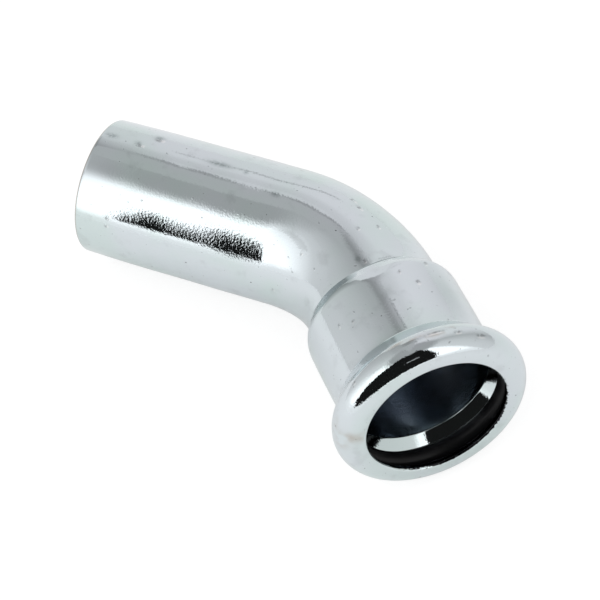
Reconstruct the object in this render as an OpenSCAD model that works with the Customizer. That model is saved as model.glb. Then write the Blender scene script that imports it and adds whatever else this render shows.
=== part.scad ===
// Press elbow for thin-walled pipe: one tube, bent and formed to a press socket at one end,
// with a plain spigot at the other. The socket's rolled bead holds a rubber seal ring.
// The elbow lies as it comes to rest: the spigot along X on the ground, the bead beside it.

/* [Tube] */
// Outside diameter of the tube, the spigot and the pipe that the socket takes
tube_od = 22; // [15:0.5:28]
// Wall of the tube
tube_wall = 1.5; // [1.2:0.05:2]
// Edge break inside and outside on the cut end of the spigot
end_break = 0.4; // [0.1:0.05:0.5]

/* [Elbow] */
// Straight length of the spigot, from its cut end to the bend
spigot_len = 32; // [20:0.5:60]
// Radius of the bend, at the middle line of the tube
bend_radius = 25; // [22:0.5:50]
// Angle that the elbow turns
bend_angle = 45; // [30:1:90]

/* [Socket] */
// Gap between the pipe and the socket wall
pipe_gap = 0.15; // [0.05:0.05:0.3]
// Depth from the mouth to the end of the straight socket wall, where the pipe stops
insert_depth = 19.15; // [16:0.05:30]
// Wall of the widened sleeve
sleeve_wall = 1.35; // [1:0.05:1.6]
// Length of tube between the bend and the shoulder
neck_len = 1.45; // [0.5:0.05:4]
// Slope of the shoulder, measured from the socket's axis
shoulder_slope = 30; // [25:1:50]
// Rounding inside the shoulder, at the pipe stop
stop_round = 2.25; // [0.4:0.05:4]
// Rounding outside, where the tube runs into the shoulder
root_round = 0.3; // [0.2:0.05:1]

/* [Seal bead] */
// Thickness of the seal ring's cord
seal_cord = 3; // [2.5:0.1:3.5]
// Gap between the pipe and the free seal ring
seal_gap = 0.1; // [0.05:0.05:0.2]
// Room over the seal ring, up to the top of its chamber
seal_top_room = 0.05; // [0.05:0.05:0.2]
// Room on each side of the seal ring in its chamber
seal_side_room = 0.35; // [0.2:0.05:0.6]
// Wall of the rolled bead
bead_wall = 1.2; // [1:0.05:1.5]
// Slope of the bead's flank towards the sleeve, measured from the socket's axis
bead_slope = 38; // [32:1:55]
// Hollow fillet outside, between the sleeve and the bead's flank
bead_fillet = 0.5; // [0.3:0.1:1]
// Slope of the ramp behind the seal ring, measured from the socket's axis
ramp_slope = 38; // [28:1:45]
// Rounding at the foot of the ramp, where the straight socket wall ends
ramp_round = 0.5; // [0.2:0.1:1]
// Rounding on both edges of the lip
lip_round = 0.45; // [0.2:0.05:0.45]

/* [Hidden] */

$fn = 96;
// Largest turn of one straight step along a rounded stretch of a profile
arc_step = 9;
// Overlap past a face that is cut through
cut = 1;
// Turn past the back of the seal chamber at which its round runs into the ramp
ramp_turn = 7.5;
// Depth by which the shoulder's root dips into the tube, so that the two meet at a clear angle
root_dip = 0.25;

tube_r = tube_od/2;
bore_r = tube_r - tube_wall;
socket_r = tube_r + pipe_gap;
sleeve_r = socket_r + sleeve_wall;

// Seal ring, the chamber around it and the bead around the chamber share one station
seal_r = seal_cord/2;
seal_mid_r = tube_r + seal_gap + seal_r;
chamber_round = seal_r + seal_side_room;
bead_mid_r = seal_mid_r + seal_r + seal_top_room - chamber_round;
bead_round = chamber_round + bead_wall;

// Shoulder: a hollow root, a cone and a rounded edge, outside and inside the wall
root_mid_r = tube_r + root_round;
root_r_out = root_round + root_dip;
root_r_in = root_r_out + tube_wall;
shoulder_round = stop_round + sleeve_wall;
sleeve_start = neck_len + shoulder_len(root_r_out, shoulder_round, sleeve_r - (root_mid_r - root_r_out));
socket_start = neck_len + shoulder_len(root_r_in, stop_round, socket_r - (root_mid_r - root_r_in));

// Stations along the socket's axis, counted from the end of the bend
mouth = socket_start + insert_depth;
bead_at = mouth - bead_round;
flank_at = bead_at - bead_round*sin(bead_slope)
    - (bead_mid_r + bead_round*cos(bead_slope) - sleeve_r)/tan(bead_slope);
fillet_at = flank_at - bead_fillet*tan(bead_slope/2);
ramp_at = bead_at - chamber_round*cos(ramp_turn)
    - (bead_mid_r + chamber_round*sin(ramp_turn) - socket_r)/tan(ramp_slope);
corner_at = ramp_at - ramp_round*tan(ramp_slope/2);

// The bend runs on under the shoulder until its inner side is halfway past it
overrun = asin((neck_len + sleeve_start)/2/(bend_radius - tube_r));

// Resting place: roll about the spigot at which the bead just touches the ground
bead_x = bend_radius*sin(bend_angle) + bead_at*cos(bend_angle);
bead_out = bend_radius*(1 - cos(bend_angle)) + bead_at*sin(bend_angle);
rise = tube_r - bead_round;
roll_a = bead_out^2 + (bead_mid_r*sin(bend_angle))^2;
roll_b = bead_out*rise;
roll_c = rise^2 - bead_mid_r^2;
roll = asin((sqrt(roll_b^2 - roll_a*roll_c) - roll_b)/roll_a);

// Outer limits of the part as it lies, for an origin below its middle
x_low = -spigot_len;
x_high = bead_x + bead_mid_r*sin(bend_angle) + bead_round;
y_low = -bead_out*cos(roll) - bead_mid_r*sqrt(1 - (sin(bend_angle)*cos(roll))^2) - bead_round;
y_high = tube_r;

// Length of a shoulder that climbs a step: its two roundings and the cone between them
function shoulder_len(low, high, step) =
    let (turn = shoulder_turn(low, high, step))
    (low + high)*sin(turn) + (step - (low + high)*(1 - cos(turn)))/tan(turn);

// Slope that a shoulder reaches: less than the wanted one where its roundings fill the step
function shoulder_turn(low, high, step) =
    acos(max(cos(shoulder_slope), 1 - step/(low + high)));

// Points along an arc of a profile, from one angle to another
function arc(mid, r, from, to) =
    let (n = max(2, ceil(abs(to - from)/arc_step)))
    [for (i = [0:n]) let (a = from + (to - from)*i/n) mid + r*[cos(a), sin(a)]];

// Outer line of the socket, as [radius, station], from the neck to the mouth
function socket_outline() =
    let (turn = shoulder_turn(root_r_out, shoulder_round, sleeve_r - (root_mid_r - root_r_out)))
    concat(
        [[0, neck_len]],
        arc([root_mid_r, neck_len], root_r_out, 180, 180 - turn),
        arc([sleeve_r - shoulder_round, sleeve_start], shoulder_round, -turn, 0),
        arc([sleeve_r + bead_fillet, fillet_at], bead_fillet, 180, 180 - bead_slope),
        arc([bead_mid_r, bead_at], bead_round, -bead_slope, 90),
        [[0, mouth]]
    );

// Inner line of the socket: lip, seal chamber with its ramp, straight wall, pipe stop and waterway
function socket_inline() =
    let (turn = shoulder_turn(root_r_in, stop_round, socket_r - (root_mid_r - root_r_in)))
    concat(
        [[0, mouth + cut], [socket_r + lip_round, mouth + cut]],
        arc([socket_r + lip_round, mouth - lip_round], lip_round, 90, 180),
        arc([socket_r + lip_round, mouth - bead_wall + lip_round], lip_round, 180, 270),
        arc([bead_mid_r, bead_at], chamber_round, 90, ramp_turn - 90),
        arc([socket_r + ramp_round, corner_at], ramp_round, 180 - ramp_slope, 180),
        arc([socket_r - stop_round, socket_start], stop_round, 0, -turn),
        arc([root_mid_r, neck_len], root_r_in, 180 - turn, 180),
        [[0, neck_len]]
    );

// The three lengths of tube are placed about the centre of the bend, which they share.
// Start of the bend, with the spigot along the child's Z to its cut end
module at_spigot() {
    translate([0, bend_radius, 0])
        rotate([0, -90, 0])
            children();
}

// End of the bend, with the socket's axis along the child's Z to its mouth
module at_socket() {
    rotate([0, 0, -bend_angle])
        translate([0, bend_radius, 0])
            rotate([0, 90, 0])
                children();
}

// Solid bend of a round bar, from the spigot round to just under the shoulder
module bend(r) {
    rotate_extrude(angle = -(bend_angle + overrun), start = 90)
        translate([bend_radius, 0])
            circle(r = r);
}

// Lays the elbow on the ground, with the origin below the middle of its box
module laid() {
    translate([-(x_low + x_high)/2, -(y_low + y_high)/2, tube_r])
        rotate([-roll, 0, 0])
            translate([0, -bend_radius, 0])
                children();
}

// Outside of the whole tube, filled
module tube_outside() {
    at_spigot()
        rotate_extrude()
            polygon([
                [0, 0], [tube_r, 0], [tube_r, spigot_len - end_break],
                [tube_r - end_break, spigot_len], [0, spigot_len]
            ]);
    bend(tube_r);
    at_socket()
        rotate_extrude()
            polygon(socket_outline());
}

// Inside of the whole tube: waterway, bend, socket and seal chamber
module tube_inside() {
    at_spigot()
        rotate_extrude()
            polygon([
                [0, 0], [bore_r, 0], [bore_r, spigot_len - end_break],
                [bore_r + end_break + cut, spigot_len + cut], [0, spigot_len + cut]
            ]);
    bend(bore_r);
    at_socket()
        rotate_extrude()
            polygon(socket_inline());
}

// Bent and formed steel tube
module elbow_body() {
    color([0.78, 0.80, 0.83])
        laid()
            difference() {
                union() tube_outside();
                union() tube_inside();
            }
}

// Rubber ring in the bead's chamber
module seal_ring() {
    color([0.05, 0.05, 0.06])
        laid()
            at_socket()
                translate([0, 0, bead_at])
                    rotate_extrude()
                        translate([seal_mid_r, 0])
                            circle(r = seal_r);
}

elbow_body();
seal_ring();
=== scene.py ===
import bpy
import numpy as np
from mathutils import Matrix, Vector


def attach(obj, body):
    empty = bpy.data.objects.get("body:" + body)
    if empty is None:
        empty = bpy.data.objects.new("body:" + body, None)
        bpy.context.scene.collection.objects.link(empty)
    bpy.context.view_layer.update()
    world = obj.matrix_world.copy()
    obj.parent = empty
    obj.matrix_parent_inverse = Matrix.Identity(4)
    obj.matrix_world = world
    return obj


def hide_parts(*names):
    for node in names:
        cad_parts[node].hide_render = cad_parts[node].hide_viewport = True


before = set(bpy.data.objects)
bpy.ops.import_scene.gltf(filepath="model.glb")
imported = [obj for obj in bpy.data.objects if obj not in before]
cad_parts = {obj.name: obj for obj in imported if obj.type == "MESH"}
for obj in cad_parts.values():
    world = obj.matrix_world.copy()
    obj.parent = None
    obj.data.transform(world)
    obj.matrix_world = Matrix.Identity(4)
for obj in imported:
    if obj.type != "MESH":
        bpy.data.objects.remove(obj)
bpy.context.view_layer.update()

# The body is one length of thin steel tube, bent cold through an eighth of a turn. One end stays a plain
# spigot, and the other is widened over a tool to a sleeve, with its mouth rolled to a bead for the seal.
# Sizes are in millimetres. A profile point is a radius and a station along the tube, from its cut end.
mm = 0.001
tube_r = 11.0
bore_r = 9.5
end_round = 0.4
spigot_len = 32.0
bend_radius = 25.0
bend_turn = np.radians(45.0)
bend_end = spigot_len + bend_radius * bend_turn

socket_r = 11.15
sleeve_r = 12.5
shoulder_slope = 32.0
shoulder_round = 3.2
shoulder_reach = 4.74
sleeve_start = bend_end + shoulder_reach
stop_slope = 30.0
stop_round = 2.25
stop_reach = 5.893
socket_start = bend_end + stop_reach

mouth_reach = 25.043
mouth = bend_end + mouth_reach
bead_wall = 1.2
bead_round = 3.05
bead_mid_r = 12.3
bead_mid = np.array((bead_mid_r, mouth - bead_round))
bead_slope = 38.0
bead_fillet = 0.5
chamber_round = bead_round - bead_wall
ramp_slope = 38.0
ramp_meets = -82.5
corner_round = 0.5
lip_round = 0.45


def arc(mid, radius, start, end, count):
    """Profile points along an arc: mid + radius * (cos a, sin a), in even steps of a from start to end."""
    angle = np.radians(np.linspace(start, end, count))
    return np.column_stack((mid[0] + radius * np.cos(angle), mid[1] + radius * np.sin(angle)))


def straight(start, end, count):
    """Profile points inside a straight stretch, evenly spaced, without its two ends."""
    return np.linspace(start, end, count + 2)[1:-1]


def cone_foot(cone_top, slope, foot_radius):
    """Where a cone reaches a smaller radius: back from its top by the drop over the slope's tangent."""
    return np.array((foot_radius, cone_top[1] - (cone_top[0] - foot_radius) / np.tan(np.radians(slope))))


def foot_arc(foot, slope, round_, count):
    """Arc of a rounding where a cone of a slope rises from a straight wall, from the wall to the cone."""
    mid = foot + (round_, -round_ * np.tan(np.radians(slope / 2)))
    return arc(mid, round_, 180, 180 - slope, count)


bead_arc = arc(bead_mid, bead_round, -bead_slope, 90, 48)
fillet_arc = foot_arc(cone_foot(bead_arc[0], bead_slope, sleeve_r), bead_slope, bead_fillet, 8)
chamber_arc = arc(bead_mid, chamber_round, 90, ramp_meets, 24)
ramp_top = chamber_arc[-1]
corner_arc = foot_arc(cone_foot(ramp_top, ramp_slope, socket_r), ramp_slope, corner_round, 8)[::-1]
shoulder_arc = arc((sleeve_r - shoulder_round, sleeve_start), shoulder_round, -shoulder_slope, 0, 26)
stop_arc = arc((socket_r - stop_round, socket_start), stop_round, 0, -stop_slope, 10)

# The widening tool's edge leaves a small step at the shoulder's root.
root_step = 0.3
root_step_len = 0.15
crease = 0.03
step_top = cone_foot(shoulder_arc[0], shoulder_slope, tube_r + root_step)
root = np.array((tube_r, step_top[1] - root_step_len))
root_inside = cone_foot(stop_arc[-1], stop_slope, bore_r)

outside = np.concatenate((
    arc((tube_r - end_round, end_round), end_round, -90, 0, 8),
    straight((tube_r, end_round), root, 168),
    (root - (0, crease), root, step_top, step_top + (0, crease)),
    straight(step_top, shoulder_arc[0], 10),
    shoulder_arc,
    straight((sleeve_r, sleeve_start), fillet_arc[0], 34),
    fillet_arc,
    straight(fillet_arc[-1], bead_arc[0], 8),
    bead_arc,
    straight((bead_mid_r, mouth), (socket_r + lip_round, mouth), 4),
))
inside = np.concatenate((
    arc((socket_r + lip_round, mouth - lip_round), lip_round, 90, 180, 7),
    arc((socket_r + lip_round, mouth - bead_wall + lip_round), lip_round, 180, 270, 7),
    straight((socket_r + lip_round, mouth - bead_wall), (bead_mid_r, mouth - bead_wall), 2),
    chamber_arc,
    straight(ramp_top, corner_arc[0], 12),
    corner_arc,
    straight(corner_arc[-1], (socket_r, socket_start), 20),
    stop_arc,
    straight(stop_arc[-1], root_inside, 2),
    (root_inside, root_inside - (0, crease)),
    straight(root_inside, (bore_r, end_round), 30),
    arc((bore_r + end_round, end_round), end_round, 180, 270, 7),
    straight((bore_r + end_round, 0), (tube_r - end_round, 0), 6),
))
profile = np.concatenate((outside, inside))
radius, station = profile[:, :1], profile[:, 1:]
on_outside = (np.arange(len(profile)) < len(outside))[:, None]

# Turns round the tube are in degrees: 0 on the outer side of the bend, 90 on top. They start at the
# underside, so that the seam is out of sight.
columns = 212
turn = np.linspace(-90, 270, columns, endpoint=False)[None, :]

# Lying at rest: the spigot on the ground, rolled until the bead touches the ground too.
roll = np.radians(10.6918)
bend_start = np.array((-6.488, 11.686, tube_r))


def along(station):
    """Middle line of the tube and its outward direction at a station.

    The line is straight for the spigot, then an arc of the bend's radius R, then straight again. A point is
    a straight run, plus R (sin t, cos t - 1), plus a run past the bend, where t is the angle turned so far.
    """
    turned = np.clip((station - spigot_len) / bend_radius, 0, bend_turn)
    before = np.minimum(station, spigot_len) - spigot_len
    after = np.maximum(station - bend_end, 0)
    middle = np.stack((
        before + bend_radius * np.sin(turned) + after * np.cos(turned),
        bend_radius * (np.cos(turned) - 1) - after * np.sin(turned),
        np.zeros_like(turned),
    ), axis=-1)
    outward = np.stack((np.sin(turned), np.cos(turned), np.zeros_like(turned)), axis=-1)
    return middle, outward


def carried(station, radius, turn):
    """Points of a profile carried along the tube, in metres, rolled and moved to where it lies.

    A point is the middle line's, plus the radius times (cos turn * outward + sin turn * upward).
    """
    middle, outward = along(station)
    angle = np.radians(turn)[..., None]
    upward = np.array((0.0, 0.0, 1.0))
    points = middle + radius[..., None] * (np.cos(angle) * outward + np.sin(angle) * upward)
    laid = np.array((
        (1, 0, 0),
        (0, np.cos(roll), np.sin(roll)),
        (0, -np.sin(roll), np.cos(roll)),
    ))
    return (points @ laid.T + bend_start) * mm


# Bending flattens the tube a little in the plane of the bend, most near its end.
bend_oval = 0.024
oval_at = 46.0
oval_reach = 8.0
oval = 1 - bend_oval * np.exp(-((station - oval_at) / oval_reach)**2) * np.cos(np.radians(turn))**2

# Drawing and forming leave the wall about a hundredth of a millimetre out of true, in waves: each with its
# height, its length along the tube, how many times it goes round, and the station it is counted from.
out_of_true = (
    (0.0125, 13.0, 0, 8.0),
    (0.004, 9.3, 3, -0.6),
    (0.0025, 6.1, -5, -2.0),
    (0.004, 15.7, 8, -3.0),
)
waves = sum(
    height * np.sin(2 * np.pi * (station - start) / length + np.radians(rounds * turn))
    for height, length, rounds, start in out_of_true
)

# Dressing the sawn end drew it in a little.
drawn_in = 0.15
drawn_len = 9.0
end_taper = drawn_in * np.clip(1 - station / drawn_len, 0, 1)**2


def spots(places):
    """Round-topped spots on the outside of the tube, a layer of the grid for each.

    A place is a station, a turn, a length along the tube and a width round it. Its spot is exp(-a^2 - b^2),
    where a and b are the distances along and round from its middle, in its own lengths and widths.
    """
    at, around, length, width = np.array(places).T[..., None, None]
    across = (np.mod(turn - around + 180, 360) - 180) * np.pi / 180 * radius
    return np.exp(-((station - at) / length)**2 - (across / width)**2) * on_outside


def weighed(places):
    """Spots whose places end with an amount, each layer times that amount."""
    amounts = np.array([place[-1] for place in places])
    return spots([place[:-1] for place in places]) * amounts[:, None, None]


# Knocks from handling, each with its station, turn, length, width and depth. The plating is rubbed bare on
# the far edge of each.
knocks = (
    (9.3, 73, 0.7, 0.5, 0.035),
    (7.1, 86, 0.6, 0.4, 0.025),
    (5.8, 156, 0.35, 0.3, 0.025),
    (5.7, 163, 0.3, 0.3, 0.025),
    (41.9, 133, 0.35, 0.4, 0.030),
    (36.5, 178, 0.4, 0.3, 0.020),
    (41.2, 66, 0.6, 0.3, 0.030),
    (42.9, 69, 0.6, 0.3, 0.030),
    (47.3, 70, 0.4, 0.3, 0.030),
    (46.4, 86, 0.4, 0.3, 0.025),
    (52.3, 97, 0.4, 0.4, 0.030),
    (57.2, 80, 0.4, 0.35, 0.035),
    (56.2, 56, 0.4, 0.4, 0.030),
    (60.5, 71, 0.55, 0.45, 0.040),
    (61.2, 136, 0.4, 0.3, 0.030),
    (62.5, 125, 0.3, 0.3, 0.025),
    (73.3, 138, 0.3, 0.4, 0.030),
    (74.0, 72, 0.3, 0.7, 0.030),
    (74.7, 58, 0.3, 0.9, 0.025),
    (73.3, 85, 0.25, 1.6, 0.025),
)
bare_part = 0.7
dented = weighed(knocks).sum(axis=0)
knocked = spots([knock[:-1] for knock in knocks]).max(axis=0)
bared = spots([
    (at + length, around, bare_part * length, width) for at, around, length, width, depth in knocks
]).max(axis=0)

# On top and towards the outer side of the bend, the neck swells a little before the shoulder, which nearly
# levels the step.
neck_swell = 0.23
swell_len = 2.6
swell_turn = 72.0
swell_reach = 38.0
swelling = np.clip(1 - (root[1] - station) / swell_len, 0, 1)**2 * (station <= root[1]) * on_outside
swelling = neck_swell * swelling * np.exp(-((turn - swell_turn) / swell_reach)**4)

# The widening tool stood a little askew, so that the shoulder starts later on the upper side.
askew = 0.55
askew_turn = 95.0
askew_width = 45.0
askew_reach = 5.0
from_shoulder = (station - (root[1] + sleeve_start) / 2) / askew_reach
wall_station = station + askew * np.exp(-((turn - askew_turn) / askew_width)**2 - from_shoulder**4)

# On top the shoulder also runs out longer, so that it is less steep there.
run_out = 1.6
run_out_turn = 96.0
run_out_width = 13.0
run_out_fade = 7.0
up_shoulder = np.clip((station - root[1]) / (sleeve_start - root[1]), 0, 1)
on_sleeve = np.clip((station - sleeve_start) / run_out_fade, 0, 1)
lengthened = run_out * up_shoulder * (1 - on_sleeve) * on_outside
wall_station = wall_station + lengthened * np.exp(-((turn - run_out_turn) / run_out_width)**2)

# The jaws that held the spigot for the bending left two shallow hollows in its front: station, turn, length,
# width and depth.
jaw_hollows = (
    (16.0, 152, 5.5, 3.5, 0.06),
    (30.0, 140, 5.5, 6.0, 0.125),
)
pressed = weighed(jaw_hollows).sum(axis=0)

wall_radius = radius * oval + waves - waves.max() - end_taper - dented - pressed + swelling
body_points = carried(wall_station, wall_radius, turn)

# Brown water stains on the bead, and grey smears on the spigot and the bend: station, turn, length, width.
stains = (
    (75.2, 176, 0.9, 1.6),
    (76.3, 172, 0.7, 1.0),
    (74.0, 168, 0.6, 1.3),
    (73.6, 84, 0.4, 2.2),
    (72.9, 76, 0.35, 1.6),
    (73.1, 96, 0.3, 1.6),
    (72.6, 106, 0.3, 1.5),
)
stained = spots(stains).max(axis=0)
smears = (
    (20.6, 82, 1.9, 0.6),
    (9.1, 70, 0.75, 0.7),
    (6.6, 84, 0.5, 0.45),
    (1.9, 83, 1.0, 0.5),
    (25.2, 83, 0.35, 0.35),
    (31.4, 97, 0.7, 0.4),
    (51.5, 101, 0.6, 0.45),
)
smeared = spots(smears).max(axis=0)

# The cut end is sawn after plating. Further in than the seal, the inside is painted darker and bluer, as
# painted shade.
deep_fade = 4.0
deep = np.clip((corner_arc[-1, 1] - station) / deep_fade, 0, 1) * ~on_outside
cut_end = np.clip(2 - 2 * station / end_round, 0, 1)

# The grain is coarser where the jaws and the bead's roller have pressed, and finer near the cut end:
# station, turn, length, width and amount.
coarse_areas = (
    (14.0, 147, 7.0, 4.5, 0.7),
    (27.0, 145, 6.0, 5.0, 1.9),
    (75.0, 135, 2.0, 9.0, 0.8),
)
fine_end = 0.6
fine_end_len = 5.0
rough = weighed(coarse_areas).max(axis=0) - fine_end * np.exp(-(station / fine_end_len)**2)


def window(value, start, start_fade, end, end_fade):
    """Goes from 0 at the start up to 1 over a fade, and from 1 down to 0 at the end over another."""
    return np.clip((value - start) / start_fade, 0, 1) * np.clip((end - value) / end_fade, 0, 1)


# Painted shade darkens the front of the shoulder, two patches on the sleeve, and the step on top.
shoulder_shade = 0.8
shoulder_shade_turns = (109, 5, 160, 18)
shoulder_shade_gap = 0.1
shoulder_shade_fade = 0.9
up_to_edge = (sleeve_start - shoulder_shade_gap - station) / shoulder_shade_fade
on_shoulder = (station > root[1]) * np.clip(up_to_edge, 0, 1) * window(turn, *shoulder_shade_turns)
sleeve_shades = (
    (63.0, 51, 6.0, 2.6, 0.42),
    (70.2, 122, 1.6, 4.5, 0.4),
)
step_shade_turns = (66, 8, 112, 6)
in_step = (station > root[1] - crease / 2) & (station < step_top[1] + crease / 2)
dulled = np.maximum(shoulder_shade * on_shoulder, weighed(sleeve_shades).max(axis=0))
dulled = np.maximum(dulled, in_step * window(turn, *step_shade_turns)) * on_outside

# A painted dark reflection lies on the lip's inner edge, most on its lower outer side.
reflection_gain = 0.8
reflection_turn = -48
reflection_reach = 1.8
reflection_cut = 0.2
on_lip = (station > mouth - bead_wall) & (radius < socket_r + lip_round)
down_lip = np.clip(reflection_gain * (socket_r + lip_round - radius) / lip_round, 0, 1)
down_lip = np.where(station > mouth - bead_wall / 2, down_lip, 1.0)
reflection_side = np.clip(reflection_reach * np.cos(np.radians(turn - reflection_turn)) - reflection_cut, 0, 1)
lip_edge = on_lip * down_lip * reflection_side


def woven(name, points, run, marks):
    """Closed skin over a grid of points: each is joined to its next neighbour both ways, round to the start.

    The UV map holds the run along the profile and the turn, both from 0 to 1. A mark has a value a point.
    """
    rows, columns = points.shape[:2]
    here = np.arange(rows * columns).reshape(rows, columns)
    beside_it = np.roll(here, -1, axis=1)
    after_it = np.roll(here, -1, axis=0)
    across_it = np.roll(beside_it, -1, axis=0)
    quads = np.stack((here, beside_it, across_it, after_it), axis=-1).reshape(-1, 4)
    mesh = bpy.data.meshes.new(name)
    mesh.vertices.add(rows * columns)
    mesh.vertices.foreach_set("co", points.ravel())
    mesh.loops.add(quads.size)
    mesh.loops.foreach_set("vertex_index", quads.ravel())
    mesh.polygons.add(len(quads))
    mesh.polygons.foreach_set("loop_start", np.arange(0, quads.size, 4))
    mesh.update(calc_edges=True)
    mesh.shade_smooth()
    ends = np.append(run, 1.0)
    turns = np.linspace(0, 1, columns + 1)
    low_run, low_turn = np.meshgrid(ends[:-1], turns[:-1], indexing="ij")
    high_run, high_turn = np.meshgrid(ends[1:], turns[1:], indexing="ij")
    corners = np.stack((
        low_run, low_turn,
        low_run, high_turn,
        high_run, high_turn,
        high_run, low_turn,
    ), axis=-1)
    mesh.uv_layers.new(name="surface").data.foreach_set("uv", corners.ravel())
    for mark, values in marks.items():
        spread = np.broadcast_to(values, points.shape[:2]).astype(np.float32)
        mesh.attributes.new(mark, "FLOAT", "POINT").data.foreach_set("value", spread.ravel())
    piece = bpy.data.objects.new(name, mesh)
    bpy.context.scene.collection.objects.link(piece)
    return piece


step = np.linalg.norm(np.diff(profile, axis=0, append=profile[:1]), axis=1)
run = np.concatenate(([0], np.cumsum(step)[:-1])) / step.sum()
body = woven("elbow_body_formed", body_points, run, {
    "knocked": knocked,
    "bared": bared,
    "stained": stained,
    "smeared": smeared,
    "deep": deep,
    "cut_end": cut_end,
    "lip_edge": lip_edge,
    "rough": rough,
    "dulled": dulled,
})


def fit_ramp(ramp, stops):
    """Gives a colour ramp these stops, each a place from 0 to 1 and a colour."""
    while len(ramp.elements) < len(stops):
        ramp.elements.new(1.0)
    for element, (place, colour) in zip(ramp.elements, stops):
        element.position = place
        element.color = colour


class Wire:
    """A socket in a node tree. Arithmetic on it adds Math nodes, and add() makes any other node."""

    def __init__(self, tree, socket=None):
        self.tree = tree
        self.socket = socket

    def add(self, kind, settings, sockets, output=0):
        """A new node of a kind: its settings first, then the value or the wire of each socket."""
        node = self.tree.nodes.new(kind)
        for name, value in settings.items():
            if name == "stops":
                fit_ramp(node.color_ramp, value)
            else:
                setattr(node, name, value)
        for name, value in sockets.items():
            if isinstance(value, Wire):
                self.tree.links.new(value.socket, node.inputs[name])
            else:
                node.inputs[name].default_value = value
        return Wire(self.tree, node.outputs[output] if node.outputs else None)

    def beside(self, output):
        """Another output of the node that this wire comes from."""
        return Wire(self.tree, self.socket.node.outputs[output])

    def math(self, operation, *values):
        """A Math node's result for these values, in their order."""
        return self.add("ShaderNodeMath", {"operation": operation}, dict(enumerate(values)))

    def __add__(self, other):
        return self.math("ADD", self, other)

    def __sub__(self, other):
        return self.math("SUBTRACT", self, other)

    def __rsub__(self, other):
        return self.math("SUBTRACT", other, self)

    def __mul__(self, other):
        return self.math("MULTIPLY", self, other)

    __radd__ = __add__
    __rmul__ = __mul__

    def rise(self, low, high):
        """0 below low and 1 above high, with an even curve between."""
        return self.add(
            "ShaderNodeMapRange", {"interpolation_type": "SMOOTHSTEP"},
            {"Value": self, "From Min": low, "From Max": high},
        )

    def between(self, start, end):
        """Rises from 0 to 1 over the start's two limits, and falls back to 0 over the end's."""
        return self.rise(*start) * (1 - self.rise(*end))

    def noise(self, scale, detail=2.0):
        """Soft noise about 0.5, of so many waves a unit of this vector."""
        return self.add("ShaderNodeTexNoise", {}, {"Vector": self, "Scale": scale, "Detail": detail})

    def tint(self, first, second):
        """One colour where this value is 0, the other where it is 1, by a Mix node's sockets for colour."""
        return self.add("ShaderNodeMix", {"data_type": "RGBA"}, {"Factor": self, 6: first, 7: second}, 2)

    def bump(self, depth, under=None):
        """Normal of a relief: this height times a depth in metres, over another relief."""
        sockets = {"Strength": 1.0, "Distance": depth, "Height": self}
        if under:
            sockets["Normal"] = under
        return self.add("ShaderNodeBump", {}, sockets)

    def mark(self, name):
        """Value of a mark that the piece's own mesh carries."""
        return self.add("ShaderNodeAttribute", {"attribute_name": name}, {}, "Fac")


def new_material(name):
    """An empty node material, and a wire to build on."""
    material = bpy.data.materials.new(name)
    material.use_nodes = True
    material.node_tree.nodes.clear()
    return material, Wire(material.node_tree)


def finish_material(wire, shader):
    """Joins a shader to its material's output."""
    wire.add("ShaderNodeOutputMaterial", {}, {"Surface": shader})


# The finish is bright zinc, plated on after forming: a pale bluish mirror with a fine grain that breaks up
# the edges of reflections, faint lavender and green tints, draw lines along the tube and handling marks.
# Scales are in waves a metre, or over the UV map for draw lines. A band is where a noise or a mark sets in.
zinc_lavender = (0.68, 0.735, 0.765, 1)
zinc_green = (0.645, 0.735, 0.73, 1)
# Colour of the painted shade deep inside the tube.
zinc_deep_shade = (0.36, 0.40, 0.45, 1)
# Grey smears and the painted shade share this colour.
zinc_smear_and_shade = (0.355, 0.41, 0.415, 1)
zinc_bare = (0.92, 0.93, 0.93, 1)
zinc_bruise = (0.30, 0.32, 0.33, 1)
zinc_stain = (0.46, 0.42, 0.37, 1)
# Colour of the painted dark reflection on the lip's inner edge.
lip_dark_reflection = (0.02, 0.02, 0.022, 1)

grain_scale = 3000
peel_scale = 420
cloud_scale = 75
blotch_scale = 330
scuff_scale = 2200
pit_scale = 1000
draw_scale = (6.0, 260.0, 0.0)

cloud_band = (0.40, 0.62)
pit_band = (0.755, 0.785)
mottle_band = (0.56, 0.74)
stain_band = (0.38, 0.60)
smear_band = (0.20, 0.54)
knock_band = (0.1, 0.8)
chip_band = (0.30, 0.62)
bare_band = (0.3, 0.8)
reflection_band = (0.0, 0.15)
reflection_edge = 1.25
reflection_start = 0.6
reflection_ragged = 2.2

mottle_tint = 0.16
stain_tint = 0.75
knock_tint = 0.8
bare_tint = 0.55
pit_tint = 0.45
sawn_tint = 0.8

zinc_rough = 0.035
mottle_rough = 0.05
knock_rough = 0.15
stain_rough = 0.12
deep_rough = 0.2
sawn_rough = 0.25

draw_depth = 0.0012 * mm
peel_depth = 0.0015 * mm
grain_depth = 0.0065 * mm
coarse_grain = 1.7
knock_grain = 7.0
pit_grain = 5.0

zinc, wire = new_material("zinc_plate")
place = wire.add("ShaderNodeTexCoord", {}, {}, "Object")
surface = wire.add("ShaderNodeUVMap", {"uv_map": "surface"}, {})
knock = wire.mark("knocked")
bare = wire.mark("bared")
stain = wire.mark("stained")
smear = wire.mark("smeared")
depth_in = wire.mark("deep")
sawn = wire.mark("cut_end")
lip_reflection_mark = wire.mark("lip_edge")
coarse = wire.mark("rough")
shade_in = wire.mark("dulled")

grain = place.noise(grain_scale)
peel = place.noise(peel_scale)
clouds = place.noise(cloud_scale, detail=3.0)
blotch = place.noise(blotch_scale, detail=4.0)
scuff = place.noise(scuff_scale)
pits = place.noise(pit_scale, detail=1.0).rise(*pit_band) * (1 - depth_in)
mottle = blotch.rise(*mottle_band) * (1 - depth_in)
stretched = wire.add("ShaderNodeVectorMath", {"operation": "MULTIPLY"}, {0: surface, 1: draw_scale})
draw_lines = stretched.noise(1.0)

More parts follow.
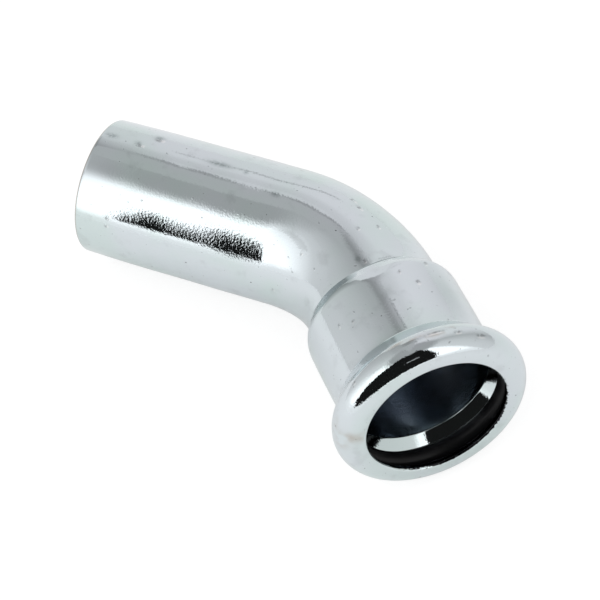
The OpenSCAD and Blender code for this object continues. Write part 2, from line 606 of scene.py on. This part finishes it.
colour = clouds.rise(*cloud_band).tint(zinc_lavender, zinc_green)
colour = (mottle * mottle_tint).tint(colour, zinc_bruise)
colour = (stain * blotch.rise(*stain_band) * stain_tint).tint(colour, zinc_stain)
colour = (smear * scuff.rise(*smear_band)).tint(colour, zinc_smear_and_shade)
colour = (knock.rise(*knock_band) * scuff.rise(*chip_band) * knock_tint).tint(colour, zinc_bruise)
colour = (bare.rise(*bare_band) * bare_tint).tint(colour, zinc_bare)
colour = (pits * pit_tint).tint(colour, zinc_bruise)
# Painted dark reflection on the lip's inner edge, ragged at its border.
lip_reflected = (lip_reflection_mark * reflection_edge + reflection_start - scuff * reflection_ragged).rise(*reflection_band)
colour = lip_reflected.tint(colour, lip_dark_reflection)
# Painted shade on the front of the shoulder, in the step on top and on two patches of the sleeve.
colour = shade_in.tint(colour, zinc_smear_and_shade)
# Painted shade deep inside the tube, beyond the seal.
colour = depth_in.tint(colour, zinc_deep_shade)
colour = (sawn * sawn_tint).tint(colour, zinc_stain)

roughness = zinc_rough + mottle * mottle_rough + knock * knock_rough + stain * stain_rough
roughness = roughness + depth_in * deep_rough + sawn * sawn_rough

grain_height = grain * (1 + coarse * coarse_grain + knock * knock_grain + pits * pit_grain)
relief = draw_lines.bump(draw_depth)
relief = peel.bump(peel_depth, relief)
relief = grain_height.bump(grain_depth, relief)

finish_material(wire, wire.add("ShaderNodeBsdfPrincipled", {}, {
    "Base Color": colour,
    "Metallic": 1.0,
    "Roughness": roughness,
    "Normal": relief,
}))
body.data.materials.append(zinc)
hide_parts("elbow_body")
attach(body, "root")

# The seal is a moulded ring of black rubber, round in section, that lies loose in the chamber of the bead,
# a little towards its back and not quite flat. Its mould closed on its largest and its smallest circle, and
# left a fine line on both.
cord_r = 1.5
ring_r = 12.6
cord_steps = 72
ring_steps = 200
mould_line = 0.03
mould_line_turn = 7.0
ring_back = 0.15
ring_warp = 0.05
ring_warp_start = 0.7

cord_turn = np.linspace(0, 360, cord_steps, endpoint=False)[:, None]
ring_turn = np.linspace(-90, 270, ring_steps, endpoint=False)[None, :]
from_line = np.minimum(np.mod(cord_turn, 180), 180 - np.mod(cord_turn, 180))
cord_radius = cord_r + mould_line * (np.exp(-(from_line / mould_line_turn)**2) - 1)
ring_lean = ring_warp * np.sin(np.radians(2 * ring_turn) + ring_warp_start)
ring_station = bead_mid[1] - ring_back + cord_radius * np.sin(np.radians(cord_turn)) + ring_lean
ring_radius = ring_r + cord_radius * np.cos(np.radians(cord_turn)) + np.zeros_like(ring_turn)
ring_points = carried(ring_station, ring_radius, ring_turn)
ring = woven("seal_ring_moulded", ring_points, np.linspace(0, 1, cord_steps, endpoint=False), {})

rubber_black = (0.004, 0.004, 0.0045, 1)
rubber_bloom = (0.012, 0.012, 0.013, 1)
bloom_scale = 380
bloom_band = (0.52, 0.78)
skin_scale = 3000
skin_depth = 0.006 * mm
rubber_rough = 0.3
bloom_rough = 0.16
rubber_gloss = 0.2

rubber, wire = new_material("seal_rubber")
place = wire.add("ShaderNodeTexCoord", {}, {}, "Object")
bloom = place.noise(bloom_scale, detail=3.0)
skin = place.noise(skin_scale)
finish_material(wire, wire.add("ShaderNodeBsdfPrincipled", {}, {
    "Base Color": bloom.rise(*bloom_band).tint(rubber_black, rubber_bloom),
    "Roughness": rubber_rough + bloom * bloom_rough,
    "Specular IOR Level": rubber_gloss,
    "Normal": skin.bump(skin_depth),
}))
ring.data.materials.append(rubber)
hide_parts("seal_ring")
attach(ring, "root")

# The floor is a wide sheet of white board that the elbow lies on. Part of what the camera sees of it is a
# plain white, and the rest is the lit board, with the soft shadow that the elbow throws on it.
floor_half = 0.4
board_white = (0.83, 0.83, 0.83, 1)
board_rough = 0.8
glow_white = (1, 1, 1, 1)
glow_level = 1.14
glow_part = 0.7

floor_mesh = bpy.data.meshes.new("floor")
floor_corners = np.array(((-1, -1, 0), (1, -1, 0), (1, 1, 0), (-1, 1, 0))) * floor_half
floor_mesh.from_pydata(floor_corners, [], [(0, 1, 2, 3)])
floor = bpy.data.objects.new("floor", floor_mesh)
bpy.context.scene.collection.objects.link(floor)

board, wire = new_material("white_board")
seen = wire.add("ShaderNodeLightPath", {}, {}, "Is Camera Ray")
lit = wire.add("ShaderNodeBsdfPrincipled", {}, {"Base Color": board_white, "Roughness": board_rough})
glow = wire.add("ShaderNodeEmission", {}, {"Color": glow_white, "Strength": glow_level})
finish_material(wire, wire.add("ShaderNodeMixShader", {}, {"Fac": seen * glow_part, 1: lit, 2: glow}))
floor_mesh.materials.append(board)

# The elbow lies in a tent of white cloth that is open to the front. Its side walls are lit and bright, its
# back and its roof are paler and greyer, and the dark room behind the camera shows through the opening.
# Only mirrored rays see the tent, and all else gets an even fill from it.
tent_walls = (
    (-180, 0.72),
    (-166, 0.80),
    (-158, 0.96),
    (-152, 1.06),
    (-140, 1.32),
    (-130, 1.55),
    (-24, 1.55),
    (-6, 1.45),
    (1, 0.83),
    (30, 0.74),
    (58, 0.56),
    (82, 0.85),
    (95, 0.88),
    (108, 0.85),
    (114, 0.82),
    (119.5, 0.75),
    (122.5, 0.59),
    (126, 0.48),
    (130, 0.39),
    (134, 0.35),
    (138, 0.43),
    (142, 0.50),
    (150, 0.53),
    (180, 0.70),
)
wall_peak = 2.0
tent_white = (1, 1, 1, 1)
tent_lavender = (1.012, 0.992, 1.012, 1)
lavender_from = (60, 85)
lavender_to = (122, 140)
fill_level = 0.97

world = bpy.data.worlds.new("tent")
bpy.context.scene.world = world
world.use_nodes = True
world.node_tree.nodes.clear()
wire = Wire(world.node_tree)
gaze = wire.add("ShaderNodeSeparateXYZ", {}, {0: wire.add("ShaderNodeTexCoord", {}, {}, "Generated")})
gaze_x, gaze_y, gaze_z = (gaze.beside(axis) for axis in "XYZ")
degrees = float(np.degrees(1.0))
azimuth = gaze_y.math("ARCTAN2", gaze_y, gaze_x) * degrees
elevation = gaze_z.math("ARCSINE", gaze_z) * degrees


def patch(left, right, low, high, soft):
    """1 inside a patch of the tent between two azimuths and two elevations, 0 outside, with soft edges."""
    across = azimuth.between((left - soft, left + soft), (right - soft, right + soft))
    return across * elevation.between((low - soft, low + soft), (high - soft, high + soft))


half_turn = 180
full_turn = 360
wall_stops = [
    ((bearing + half_turn) / full_turn, (wall / wall_peak, wall / wall_peak, wall / wall_peak, 1))
    for bearing, wall in tent_walls
]
walls = wire.add("ShaderNodeValToRGB", {"stops": wall_stops}, {"Fac": azimuth * (1 / full_turn) + 0.5})
level = walls * wall_peak

# The roof is greyer than the walls, and the walls are dimmer at their foot.
roof_level = 0.44
roof_edge = (55, 68)
level = level + elevation.rise(*roof_edge) * (roof_level - level)
foot_level = 1.05
foot_edge = (1, 12)
dimmed = level.math("MINIMUM", level, foot_level)
level = dimmed + elevation.rise(*foot_edge) * (level - dimmed)

# At the back a ridge, its seam and a paler corner show. A patch has a left, a right, a low and a high edge
# and their softness, in degrees.
ridge = (120.5, 147, 46.5, 95, 1.0)
ridge_level = 0.53
ridge_seam = (120.5, 123.5, 43.5, 50, 0.7)
seam_level = 0.40
corner = (118, 138, -5, 26, 2.0)
corner_foot = (136, 145, -5, 13, 2.0)
corner_level = 0.84
level = level + patch(*ridge) * (ridge_level - level)
level = level + patch(*ridge_seam) * (seam_level - level)
level = level + patch(*corner) * (corner_level - level)
level = level + patch(*corner_foot) * (corner_level - level)

# A fold shades the back wall, and the left wall is shaded near its top.
fold_shade = 0.08
fold_left = (94, 114)
fold_right = (118.5, 123.5)
fold_low = (28, 36)
fold_high = (40.5, 44.5)
left_shade = 0.18
left_top = (-160, -149.5, 38, 57, 1.5)
fold = azimuth.between(fold_left, fold_right) * elevation.between(fold_low, fold_high)
level = level - fold * fold_shade
level = level - patch(*left_top) * left_shade

# A dark seam climbs along the back wall, up to its corner.
seam_end = 112
seam_past = 1.0
seam_end_height = 22.0
seam_climb = 1.05
seam_half = (0.4, 1.1)
seam_reach = (102, 112.8, 8, 30, 0.5)
past_end = azimuth - seam_end
seam_height = seam_end_height + past_end.math("MINIMUM", past_end, seam_past) * seam_climb
off_seam = elevation.math("ABSOLUTE", elevation - seam_height)
seam = patch(*seam_reach) * (1 - off_seam.rise(*seam_half))
level = level + seam * (seam_level - level)

# The opening shows the dark room between two leaning flaps, over a sill that drops to the right. A slit of
# light is in it.
open_level = 0.010
left_flap_edge = (-114.5, -113.5)
left_flap_bend = 36
left_flap_lean = 0.45
right_flap_edge = (-32, -30.5)
right_flap_lean = 0.28
sill_edge = (8.7, 9.9)
sill_drop = 6.2
sill_drop_at = (-110, -104)
open_top = (74, 78)
slit = (-52, -37, 40, 44, 1.0)
slit_level = 0.4
left_flap = azimuth - elevation.math("MAXIMUM", elevation - left_flap_bend, 0) * left_flap_lean
right_flap = azimuth - elevation * right_flap_lean
sill = elevation + azimuth.rise(*sill_drop_at) * sill_drop
opening = left_flap.rise(*left_flap_edge) * (1 - right_flap.rise(*right_flap_edge))
opening = opening * sill.rise(*sill_edge) * (1 - elevation.rise(*open_top))
level = level + opening * (open_level - level)
level = level + patch(*slit) * (slit_level - level)

mirrored = wire.add("ShaderNodeLightPath", {}, {}, "Is Glossy Ray")
strength = fill_level + mirrored * (level - fill_level)
cloth = azimuth.between(lavender_from, lavender_to).tint(tent_white, tent_lavender)
background = wire.add("ShaderNodeBackground", {}, {"Color": cloth, "Strength": strength})
wire.add("ShaderNodeOutputWorld", {}, {"Surface": background})

# One broad lamp over the tent adds soft light from above and gives the elbow its shadow. The cloth hides it
# from the metal.
lamp_place = (-0.12, -0.30, 0.50)
lamp_size = 0.4
lamp_watts = 0.9

lamp_data = bpy.data.lights.new("roof_lamp", "AREA")
lamp_data.size = lamp_size
lamp_data.energy = lamp_watts
lamp = bpy.data.objects.new("roof_lamp", lamp_data)
lamp.location = lamp_place
lamp.rotation_euler = Vector(lamp_place).to_track_quat("Z", "Y").to_euler()
lamp.visible_glossy = False
bpy.context.scene.collection.objects.link(lamp)

# The camera looks down on the elbow from the front right, a little tilted, through a long lens. Its aim is a
# point in the middle of the elbow.
camera_azimuth = np.radians(35.87)
camera_elevation = np.radians(58.23)
camera_tilt = np.radians(-15.25)
camera_distance = 400.0 * mm
camera_aim = Vector((-1.41, 3.50, 7.41)) * mm
camera_sensor = 36.0
camera_lens = 153.86
camera_near = 10.0 * mm

back = Vector((
    np.sin(camera_azimuth) * np.cos(camera_elevation),
    -np.cos(camera_azimuth) * np.cos(camera_elevation),
    np.sin(camera_elevation),
))
level_right = Vector((np.cos(camera_azimuth), np.sin(camera_azimuth), 0))
level_up = back.cross(level_right)
right = level_right * np.cos(camera_tilt) + level_up * np.sin(camera_tilt)
up = back.cross(right)
facing = Matrix((right, up, back)).transposed().to_4x4()
camera_data = bpy.data.cameras.new("camera")
camera_data.sensor_width = camera_sensor
camera_data.lens = camera_lens
camera_data.clip_start = camera_near
camera = bpy.data.objects.new("camera", camera_data)
camera.matrix_world = Matrix.Translation(camera_aim + back * camera_distance) @ facing
bpy.context.scene.collection.objects.link(camera)
bpy.context.scene.camera = camera
bpy.context.scene.view_settings.view_transform = "Standard"
